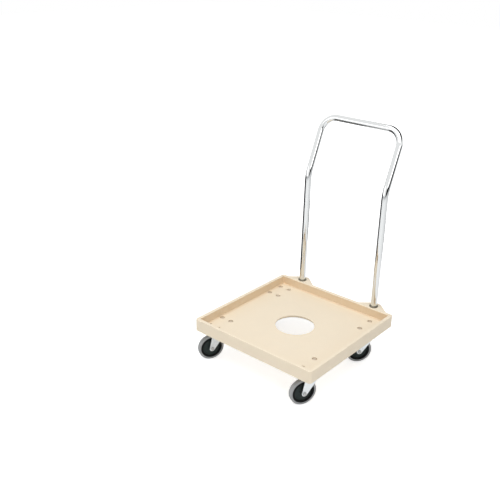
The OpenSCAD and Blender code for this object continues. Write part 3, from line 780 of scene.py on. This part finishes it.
bent_tube, tube_in, tube_out = geometry_tree(
    "bent_tube",
    [
        ("Tube Radius", "NodeSocketFloat"),
        ("Lower Bend", "NodeSocketFloat"),
        ("Corner Bend", "NodeSocketFloat"),
        ("Sides", "NodeSocketInt"),
        ("Finish", "NodeSocketMaterial"),
    ],
)
path = add_node(bent_tube, "GeometryNodeMeshToCurve", {"Mesh": tube_in.outputs["Geometry"]})
index = add_node(bent_tube, "GeometryNodeInputIndex").outputs[0]
from_middle = maths(bent_tube, "ABSOLUTE", minus(bent_tube, index, 2.5))
at_corner = add_node(bent_tube, "FunctionNodeCompare", {0: from_middle, 1: 1.0}, operation="LESS_THAN")
radius = add_node(
    bent_tube,
    "GeometryNodeSwitch",
    {
        "Switch": at_corner.outputs[0],
        "False": tube_in.outputs["Lower Bend"],
        "True": tube_in.outputs["Corner Bend"],
    },
    input_type="FLOAT",
)
filleted = add_node(
    bent_tube,
    "GeometryNodeFilletCurve",
    {"Curve": path.outputs[0], "Radius": radius.outputs[0], "Count": 20},
    mode="POLY",
)
section = add_node(
    bent_tube,
    "GeometryNodeCurvePrimitiveCircle",
    {"Resolution": tube_in.outputs["Sides"], "Radius": tube_in.outputs["Tube Radius"]},
)
swept = add_node(
    bent_tube,
    "GeometryNodeCurveToMesh",
    {"Curve": filleted.outputs[0], "Profile Curve": section.outputs[0], "Fill Caps": True},
)
solid = add_node(bent_tube, "GeometryNodeRealizeInstances", {0: swept.outputs[0]})
finished = add_node(
    bent_tube,
    "GeometryNodeSetMaterial",
    {"Geometry": solid.outputs[0], "Material": tube_in.outputs["Finish"]},
)
bent_tube.links.new(finished.outputs[0], tube_out.inputs[0])
print("tree:", bent_tube.name)

# %% [markdown]
# ## The handle's path
# Two upright legs lean back above their lower bends and meet in a straight bar.
# Only six points say all of that: the feet, the lower bends and the top corners.
# They are worked out from the tube node's box, the lean and the bend's height.

# %% Handle
tube_low, tube_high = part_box("handle_tube")
leg_x = tube_high.x - TUBE_R
bar_z = tube_high.z - TUBE_R
bar_y = tube_high.y - TUBE_R
leg_y = bar_y - (bar_z - BEND_Z) * math.tan(LEAN)
stations = [
    (-leg_x, leg_y, tube_low.z),
    (-leg_x, leg_y, BEND_Z),
    (-leg_x, bar_y, bar_z),
    (leg_x, bar_y, bar_z),
    (leg_x, leg_y, BEND_Z),
    (leg_x, leg_y, tube_low.z),
]
line = bpy.data.meshes.new("handle_line")
line.from_pydata(stations, [(i, i + 1) for i in range(5)], [])
handle = add_object("push_handle", line)
grow(
    handle,
    bent_tube,
    tube_radius=TUBE_R,
    lower_bend=LOWER_BEND_R,
    corner_bend=CORNER_BEND_R,
    sides=48,
    finish=chrome,
)
shade(handle)
seat(handle, "chassis", "handle", "handle_tube")
print("bar at", round(bar_y, 4), round(bar_z, 4), "bounds", [round(v, 4) for v in handle.dimensions])

# %% [markdown]
# ## Collars at the handle's feet
# Each leg passes through a small turned collar that sits on the rim. A collar is
# a ring with a rolled top edge, so its section is drawn, rounded, and carried
# round the leg.

# %% Collars
for side, word in ((-1, "left"), (1, "right")):
    low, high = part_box("handle_collar_" + word)
    tall, wide = high.z - low.z, (high.x - low.x) / 2
    inner = TUBE_R + 0.05 * MM
    section = rounded(
        [(inner, 0), (wide, 0), (wide, tall * 0.55), (wide - 2.2 * MM, tall), (inner, tall)],
        [0, 0.4 * MM, 1.6 * MM, 1.0 * MM, 0.3 * MM],
    )
    centre = ((low.x + high.x) / 2, (low.y + high.y) / 2, low.z)
    collar = revolve("collar_ring_" + word, section, centre, (0, 0, 1), dark_brown, 72)
    seat(collar, "chassis", "steel", "handle_collar_" + word)


# %% [markdown]
# ## Fasteners
# Sixteen bolts hold the casters on, with washers above and lock nuts below, and
# two more hold the handle. A hex head is a six-sided block whose corners a cone
# has cut, and a shank is a cylinder with a wave wound round it for the thread.


# %% One hex head with its chamfer
def hex_ring(across_flats, height, crown, hole=0.0, steps=12):
    """Points and faces of a hexagonal block whose top corners are cut by a cone."""
    columns = []
    for i in range(6 * steps):
        a = 2 * math.pi * i / (6 * steps)
        off = (a + math.pi / 6) % (math.pi / 3) - math.pi / 6
        reach = across_flats / 2 / math.cos(off)
        drop = max(0.0, reach - crown) * math.tan(math.radians(30))
        columns.append((a, reach, height - drop))
    rows = [
        [(hole, 0.0)] * len(columns) if hole else None,
        [(reach - 0.25 * MM, 0.0) for _, reach, _ in columns],
        [(reach, 0.25 * MM) for _, reach, _ in columns],
        [(reach, top) for _, reach, top in columns],
        [(crown, height)] * len(columns),
        [(hole, height)] * len(columns) if hole else None,
    ]
    rows = [row for row in rows if row]
    points, faces, n = [], [], len(columns)
    for row in rows:
        points += [(r * math.cos(c[0]), r * math.sin(c[0]), z) for (r, z), c in zip(row, columns)]
    for k in range(len(rows) - 1):
        for i in range(n):
            j = (i + 1) % n
            faces.append((k * n + i, k * n + j, (k + 1) * n + j, (k + 1) * n + i))
    if hole:
        last = len(rows) - 1
        for i in range(n):
            j = (i + 1) % n
            faces.append((last * n + i, last * n + j, j, i))
    else:
        faces.append(tuple(range(n))[::-1])
        faces.append(tuple((len(rows) - 1) * n + i for i in range(n)))
    return points, faces


def shank(radius, top, bottom, pitch, threaded, sides=24):
    """A round shank along Z with a real thread on its lower end."""
    start = bottom + threaded
    heights, rows = [top, start + 0.2 * MM], []
    steps = max(8, int(threaded / pitch * 8))
    heights += [start - threaded * k / steps for k in range(steps + 1)]
    depth = 0.55 * pitch
    points, faces = [], []
    for z in heights:
        for i in range(sides):
            a = 2 * math.pi * i / sides
            cut = 0.0
            if z <= start:
                wave = ((z / pitch) - i / sides) % 1.0
                fade = min(1.0, (start - z) / pitch, (z - bottom) / pitch + 0.25)
                cut = depth * abs(2 * wave - 1) * max(0.0, fade)
            end = min(1.0, (z - bottom) / (0.8 * MM) + 0.55) if z < bottom + 0.4 * MM else 1.0
            r = (radius - cut) * (0.9 + 0.1 * end)
            points.append((r * math.cos(a), r * math.sin(a), z))
    count = len(heights)
    for k in range(count - 1):
        for i in range(sides):
            j = (i + 1) % sides
            faces.append((k * sides + i, (k + 1) * sides + i, (k + 1) * sides + j, k * sides + j))
    faces.append(tuple(range(sides)))
    faces.append(tuple((count - 1) * sides + i for i in range(sides))[::-1])
    return points, faces


def join_parts(*parts):
    """Several (points, faces) as one."""
    points, faces = [], []
    for more_points, more_faces in parts:
        base = len(points)
        points += more_points
        faces += [tuple(base + i for i in face) for face in more_faces]
    return points, faces


print("fastener shapes ready")

# %% [markdown]
# ## Setting out
# The fasteners of a kind are all alike, so each kind is modelled once and set out
# by one tree: points in, one fastener on each point, one mesh out. Nobody lines
# up the flats of sixteen bolts, so each gets a random turn with a fixed seed.

# %% Tree that sets out one fastener on many points
set_out, set_in, set_end = geometry_tree(
    "fastener_set", [("Fastener", "NodeSocketObject"), ("Finish", "NodeSocketMaterial")]
)
one = add_node(set_out, "GeometryNodeObjectInfo", {"Object": set_in.outputs["Fastener"]})
spin = add_node(
    set_out,
    "FunctionNodeRandomValue",
    {"Min": (0.0, 0.0, -0.5), "Max": (0.0, 0.0, 0.5), "Seed": 4},
    data_type="FLOAT_VECTOR",
)
many = add_node(
    set_out,
    "GeometryNodeInstanceOnPoints",
    {"Points": set_in.outputs["Geometry"], "Instance": one.outputs["Geometry"], "Rotation": spin.outputs[0]},
)
real = add_node(set_out, "GeometryNodeRealizeInstances", {0: many.outputs[0]})
coated = add_node(
    set_out, "GeometryNodeSetMaterial", {"Geometry": real.outputs[0], "Material": set_in.outputs["Finish"]}
)
set_out.links.new(coated.outputs[0], set_end.inputs[0])


def place_fasteners(name, shape, points, finish, node=None):
    """Model one fastener, set it out on the points, and let the set stand for its node."""
    single = mesh_piece(name + "_one", *shape)
    shade(single, 28)
    cloud_mesh = bpy.data.meshes.new(name + "_points")
    cloud_mesh.from_pydata(points, [], [])
    made = add_object(name, cloud_mesh)
    grow(made, set_out, fastener=single, finish=finish)
    bpy.data.objects.remove(single)
    shade(made, 28)
    if node:
        seat(made, "chassis", "zinc", node)
    else:
        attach(made, "chassis")


print("tree:", set_out.name)

# %% [markdown]
# ## Caster bolts
# Each plate is held by four hex bolts through the tray's floor, and their heads
# are the tan dots that the picture shows. The holes lie 44.5 by 73 mm apart round
# the plate's middle, which is read from each plate's own box.

# %% Bolts of the caster plates
HEAD_AF, HEAD_H, NUT_H, PITCH = 13 * MM, 5.28 * MM, 8 * MM, 1.25 * MM
HOLE_X, HOLE_Y = 22.25 * MM, 36.5 * MM
washer_low, washer_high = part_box("plate_washers")
plate_spots = []
for corner in CORNERS:
    low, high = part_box("top_plate_" + corner)
    middle = (low + high) / 2
    for sx in (-1, 1):
        for sy in (-1, 1):
            plate_spots.append((middle.x + sx * HOLE_X, middle.y + sy * HOLE_Y))


def at_height(spots, z):
    """The same spots, all at one height."""
    return [(x, y, z) for x, y in spots]


def hex_bolt(length, threaded):
    """A bolt whose head stands on the ground plane and whose shank hangs below it."""
    head = hex_ring(HEAD_AF, HEAD_H, HEAD_AF / 2 * 0.93)
    return join_parts(head, shank(BOLT_D / 2, HEAD_H / 2, -length, PITCH, threaded))


plate_bolt = hex_bolt(washer_high.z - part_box("plate_bolts")[0].z, 12 * MM)
head_spots = at_height(plate_spots, washer_high.z)
# the heads' tan is painted shade and a painted reflection of the cream plastic round them
place_fasteners("plate_bolt_set", plate_bolt, head_spots, worn_zinc, "plate_bolts")

# %% [markdown]
# ## Washers
# A washer is stamped from sheet. Its outer edges come out well rounded and those
# of its hole less so. One section with four roundings, carried round, gives that.

# %% Washers of the caster plates
WASHER_IN, WASHER_OUT, WASHER_T = 4.05 * MM, 8 * MM, 1.6 * MM
ring = rounded(
    [(WASHER_IN, 0), (WASHER_OUT, 0), (WASHER_OUT, WASHER_T), (WASHER_IN, WASHER_T)],
    [0.1 * MM, 0.35 * MM, 0.35 * MM, 0.2 * MM],
    3,
)


def ring_shape(outline, sides=40):
    """Points and faces of a closed outline carried round Z."""
    points = []
    for s in range(sides):
        a = 2 * math.pi * s / sides
        points += [(p[0] * math.cos(a), p[0] * math.sin(a), p[1]) for p in outline]
    return points, lathe_faces(len(outline), sides)


washer_spots = at_height(plate_spots, washer_low.z)
# the washers' tan is painted shade and a painted reflection of the cream plastic round them
place_fasteners("plate_washer_set", ring_shape(ring), washer_spots, worn_zinc, "plate_washers")

# %% [markdown]
# ## Lock nuts
# A dolly shakes, so its nuts lock: on the hex body sits a rounded collar with a
# nylon ring inside, which the bolt cuts its way through. Body and collar are one
# piece of metal. The ring has its own finish and is a piece of its own.

# %% Lock nuts, with the nylon ring that holds them
def upside_down(shape):
    """A fastener turned over about the X axis."""
    points, faces = shape
    return [(x, -y, -z) for x, y, z in points], faces


def lock_nut_shape(bore, across_flats, height):
    """A lock nut that points down: a hex body and a rounded collar below it."""
    points, faces = hex_ring(across_flats, height * 0.72, across_flats / 2 * 0.95, bore)
    collar = rounded(
        [
            (bore, height * 0.70),
            (across_flats * 0.44, height * 0.70),
            (across_flats * 0.44, height),
            (bore + 0.8 * MM, height),
            (bore + 0.8 * MM, height * 0.8),
            (bore, height * 0.8),
        ],
        [0, 0, 1.0 * MM, 0.2 * MM, 0, 0],
    )
    return upside_down(join_parts((points, faces), ring_shape(collar, 48)))


def nylon_shape(bore, height):
    """The nylon ring inside a lock nut's collar."""
    outer, foot, top = bore + 0.75 * MM, -height * 0.98, -height * 0.82
    corners = [(bore, foot), (outer, foot), (outer, top), (bore, top)]
    return ring_shape(rounded(corners, [0.2 * MM, 0.2 * MM, 0, 0], 3))


NUT_BORE = BOLT_D / 2 + 0.05 * MM
nut_spots = at_height(plate_spots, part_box("plate_nuts")[1].z)
plate_nut = lock_nut_shape(NUT_BORE, HEAD_AF, NUT_H)
place_fasteners("plate_nut_set", plate_nut, nut_spots, zinc, "plate_nuts")
place_fasteners("plate_nylon_set", nylon_shape(NUT_BORE, NUT_H), nut_spots, nylon)
print("plate fasteners on", len(plate_spots), "spots")

# %% [markdown]
# ## Bolts under the handle's feet
# Each leg ends in a threaded plug, and a bolt from below draws it down into its
# socket. The bolt has the head of a plate bolt and is turned over. These parts
# stay bright, because no rinse water stands on them.

# %% Bolts under the handle's feet
foot_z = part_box("handle_washers")[0].z
foot_spots = at_height([(sx * leg_x, leg_y) for sx in (-1, 1)], foot_z)
handle_bolt = upside_down(hex_bolt(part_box("handle_bolts")[1].z - foot_z, 16 * MM))
place_fasteners("handle_bolt_set", handle_bolt, foot_spots, zinc, "handle_bolts")
place_fasteners("handle_washer_set", ring_shape(ring), foot_spots, zinc, "handle_washers")

# %% [markdown]
# ## Casters
# Each caster has a pressed plate, a folded fork and a moulded wheel. Plate and
# fork are bent sheet, so softened copies of their nodes are right: the press
# rounds every edge a little. Wheel core and tread are turned shapes. The joints
# in the frame say where each axle lies and which way it points.

# %% Plates and forks
for corner in CORNERS:
    plate = softened("swivel_plate_" + corner, "top_plate_" + corner, 0.5 * MM, zinc)
    seat(plate, "chassis", "zinc", "top_plate_" + corner)
    fork = softened("pressed_fork_" + corner, "fork_" + corner, 0.6 * MM, zinc)
    seat(fork, "swivel_" + corner, "zinc", "fork_" + corner)


# %% [markdown]
# ## Treads
# The tread is a band of soft rubber moulded onto the wheel. The picture shows it
# slimmer than the CAD's, so here it is drawn 16.8 mm wide, with flat sides and
# small shoulders. It keeps the CAD's diameter, and still stands on the ground.

# %% Treads
SLIM_HALF, SHOULDER = TREAD_HALF - 3.6 * MM, 2 * MM
TREAD = rounded(
    [
        (TREAD_IN, -SLIM_HALF),
        (WHEEL_R, -SLIM_HALF),
        (WHEEL_R, SLIM_HALF),
        (TREAD_IN, SLIM_HALF),
    ],
    [0.3 * MM, SHOULDER, SHOULDER, 0.3 * MM],
    8,
)
for corner in CORNERS:
    joint = JOINTS["wheel_" + corner]
    tyre = revolve("rubber_tread_" + corner, TREAD, joint["pos_m"], joint["axis"], rubber, 120)
    seat(tyre, "wheel_" + corner, "tread", "tread_" + corner)


# %% [markdown]
# ## Wheel cores
# Hub, web and rim are one moulding, the same on both sides. Half of its section
# is written as a radius, a height and a rounding for each corner, and the other
# half is its mirror image. The web is thinner at the rim than at the hub.

# %% Wheel cores
RIM_IN, HUB_R = CORE_R - RIM_DEEP, 13.5 * MM
RIM_HALF, WEB_HUB, WEB_RIM = SLIM_HALF + 0.6 * MM, 6 * MM, 4 * MM
half_core = [
    (BORE_R, HUB_HALF, 0.4),
    (HUB_R, HUB_HALF, 1.0),
    (HUB_R, WEB_HUB, 1.5),
    (RIM_IN, WEB_RIM, 2.0),
    (RIM_IN, RIM_HALF, 1.2),
    (CORE_R, RIM_HALF, 0.8),
]
CORE = rounded(
    [(r, z) for r, z, _ in half_core] + [(r, -z) for r, z, _ in reversed(half_core)],
    [c * MM for _, _, c in half_core] + [c * MM for _, _, c in reversed(half_core)],
)
for corner in CORNERS:
    joint = JOINTS["wheel_" + corner]
    core = revolve("moulded_core_" + corner, CORE, joint["pos_m"], joint["axis"], black, 120)
    seat(core, "wheel_" + corner, "wheel_core", "wheel_core_" + corner)


# %% [markdown]
# ## Axle bolts and nuts
# A bolt through both fork legs carries each wheel, with a lock nut at its far end.
# They are the shapes of the plate fasteners at a smaller size. Each is made along
# Z, moved out to its fork leg, and then laid along the axle of its joint.

# %% Axle bolts and their nuts
AXLE_AF, AXLE_HEAD = 12 * MM, 4.8 * MM
AXLE_BORE = AXLE_D / 2 + 0.05 * MM


def axle_piece(name, corner, shape, rise, finish):
    """A piece that was made along Z, moved along it and laid on a wheel's axle."""
    points, faces = shape
    piece = mesh_piece(name + corner, [(x, y, z + rise) for x, y, z in points], faces, finish)
    joint = JOINTS["wheel_" + corner]
    turned = Vector(joint["axis"]).normalized().to_track_quat("Z", "Y").to_matrix().to_4x4()
    piece.data.transform(Matrix.Translation(Vector(joint["pos_m"])) @ turned)
    shade(piece, 28)
    return piece


axle_head = hex_ring(AXLE_AF, AXLE_HEAD, AXLE_AF / 2 * 0.94)
axle_stem = shank(AXLE_D / 2, AXLE_HEAD / 2, -2 * FORK_OUT - 10 * MM, PITCH, 12 * MM)
axle_bolt = join_parts(axle_head, axle_stem)
axle_nut = lock_nut_shape(AXLE_BORE, AXLE_AF, AXLE_D)
axle_ring = nylon_shape(AXLE_BORE, AXLE_D)
for corner in CORNERS:
    screw = axle_piece("axle_screw_", corner, axle_bolt, FORK_OUT, steel)
    seat(screw, "swivel_" + corner, "zinc", "axle_bolt_" + corner)
    nut = axle_piece("axle_lock_nut_", corner, axle_nut, -FORK_OUT, steel)
    seat(nut, "swivel_" + corner, "zinc", "axle_nut_" + corner)
    insert = axle_piece("axle_nylon_", corner, axle_ring, -FORK_OUT, nylon)
    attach(insert, "swivel_" + corner)


# %% [markdown]
# ## Inner parts
# Balls, races, kingpins, sleeves and the plugs in the handle's feet are seen
# only through gaps, so their CAD nodes stay as they are. They still need a real
# finish, because a gap catches the eye when it shows plain grey.

# %% Finishes for the nodes that stay
for name, node in frame["nodes"].items():
    if node.hide_render:
        continue
    finish = zinc if name.startswith("kingpin") else steel
    for slot in node.material_slots:
        slot.material = finish
    print(name, "->", finish.name)


# %% [markdown]
# ## Studio
# The dolly is shown as in a catalogue: white all round and a very faint shadow.
# The floor is a plain pale sheet. To the camera, and to what mirrors it, the floor
# adds a little glow so that it reads as white, and it still darkens under the
# dolly. Seen from below the sheet is clear, so that the underside can be looked
# at.

# %% Floor
GROUND = 12.0
GLOW_FOR_EYE, GLOW_FOR_MIRROR = 0.66, 0.20
floor = mesh_piece(
    "studio_floor",
    [(-GROUND, -GROUND, 0), (GROUND, -GROUND, 0), (GROUND, GROUND, 0), (-GROUND, GROUND, 0)],
    [(0, 1, 2, 3)],
)
paper = bpy.data.materials.new("pale_paper")
paper.use_nodes = True
tree = paper.node_tree
tree.nodes.clear()
seen = add_node(tree, "ShaderNodeLightPath")
spot = object_place(tree)
away = add_node(tree, "ShaderNodeVectorMath", {0: spot}, operation="LENGTH").outputs["Value"]
far = times(tree, minus(tree, away, 0.8), 0.5, True)
for_eye = plus(tree, times(tree, far, 0.5), GLOW_FOR_EYE)
for_eye = times(tree, for_eye, seen.outputs["Is Camera Ray"])
for_mirror = times(tree, seen.outputs["Is Glossy Ray"], GLOW_FOR_MIRROR)
matt = add_node(tree, "ShaderNodeBsdfDiffuse", {"Color": (0.86, 0.86, 0.86, 1)})
glow = add_node(
    tree, "ShaderNodeEmission", {"Color": (1, 1, 1, 1), "Strength": plus(tree, for_eye, for_mirror)}
)
lit = add_node(tree, "ShaderNodeAddShader", {0: matt.outputs[0], 1: glow.outputs[0]})
from_below = add_node(tree, "ShaderNodeNewGeometry").outputs["Backfacing"]
clear = add_node(tree, "ShaderNodeBsdfTransparent")
sheet = add_node(tree, "ShaderNodeMixShader", {0: from_below, 1: lit.outputs[0], 2: clear.outputs[0]})
add_node(tree, "ShaderNodeOutputMaterial", {"Surface": sheet.outputs[0]})
floor.data.materials.append(paper)
if floor.data.polygons[0].normal.z < 0:
    floor.data.flip_normals()
print("floor", floor.dimensions[:])

# %% [markdown]
# ## World
# The surround is pale, and lights the dolly evenly and weakly. What looks
# straight at it, or mirrors it, sees plain white instead, and no more light falls
# on the dolly for that.

# %% World
world = bpy.data.worlds.new("pale_room")
bpy.context.scene.world = world
world.use_nodes = True
tree = world.node_tree
tree.nodes.clear()
seen = add_node(tree, "ShaderNodeLightPath")
white_for = maths(tree, "MAXIMUM", seen.outputs["Is Camera Ray"], seen.outputs["Is Transmission Ray"])
white_for = maths(tree, "MAXIMUM", white_for, seen.outputs["Is Glossy Ray"])
room = add_node(tree, "ShaderNodeBackground", {"Color": (0.97, 0.98, 1, 1), "Strength": 0.46})
white = add_node(tree, "ShaderNodeBackground", {"Color": (1, 1, 1, 1), "Strength": 1.0})
chosen = add_node(tree, "ShaderNodeMixShader", {0: white_for, 1: room.outputs[0], 2: white.outputs[0]})
add_node(tree, "ShaderNodeOutputWorld", {"Surface": chosen.outputs[0]})
print("world", world.name)

# %% [markdown]
# ## Lamps
# One large softbox overhead does most of the work and gives the faint shadow. Two
# weaker ones lift the right and the left side, so that the skirt's faces differ
# a little in tone, as they do in the picture.

# %% Lamps
def area_lamp(name, place, target, size, power):
    """A square soft lamp that looks at a point."""
    data = bpy.data.lights.new(name, "AREA")
    data.energy, data.size = power, size
    look = (Vector(target) - Vector(place)).to_track_quat("-Z", "Y")
    turned = look.to_matrix().to_4x4()
    add_object(name, data).matrix_world = Matrix.Translation(Vector(place)) @ turned


area_lamp("softbox_top", (0.3, -0.9, 2.9), (0, -0.1, 0.2), 2.4, 56)
area_lamp("softbox_right", (3.0, -1.6, 1.4), (0, 0, 0.3), 1.6, 12)
area_lamp("softbox_left", (-1.6, -3.2, 1.2), (0, 0, 0.2), 1.6, 9)
print("lamps ready")

# %% [markdown]
# ## Dark cards for the chrome
# A mirror with white all round it can't be seen. Photographers stand dark cards
# beside the set, out of the picture, so that the chrome's edges draw dark lines.
# Looked down at, an upright leg mirrors the ground too, so a dark mat lies on
# either side. Cards and mats are seen only by mirror reflections, and they take
# no light from the set.

# %% Dark cards
card_paint = bpy.data.materials.new("card_black")
card_paint.use_nodes = True
paint = card_paint.node_tree.nodes["Principled BSDF"]
paint.inputs["Base Color"].default_value = (0.02, 0.02, 0.02, 1)
paint.inputs["Roughness"].default_value = 1.0


def dark_card(name, start, end, low, high, near, far):
    """A card or mat round the handle, seen only in mirrors; angles in degrees from the camera."""
    points, faces, steps = [], [], 16
    for k in range(steps + 1):
        facing = AZIMUTH + math.radians(start + (end - start) * k / steps)
        out = Vector((math.sin(facing), -math.cos(facing), 0))
        foot, head = out * near, out * far
        points += [(foot.x, leg_y + foot.y, low), (head.x, leg_y + head.y, high)]
    for k in range(steps):
        faces.append((2 * k, 2 * k + 2, 2 * k + 3, 2 * k + 1))
    card = mesh_piece(name, points, faces, card_paint)
    card.visible_camera = False
    card.visible_diffuse = False
    card.visible_shadow = False
    card.visible_transmission = False


dark_card("card_left", -80, -162, 0.0, 0.5, 1.6, 1.6)
dark_card("mat_left", -80, -162, 0.002, 0.002, 0.5, 1.6)
dark_card("card_front_right", 0, 78, 0.50, 0.98, 1.6, 1.6)
dark_card("card_high_right", 60, 172, 1.5, 3.4, 1.6, 1.6)
dark_card("card_over", 60, 172, 3.4, 3.4, 0.5, 1.6)
dark_card("mat_right", 112, 165, 0.002, 0.002, 0.9, 1.5)
print("cards ready")

bpy.context.scene.view_settings.view_transform = "Standard"
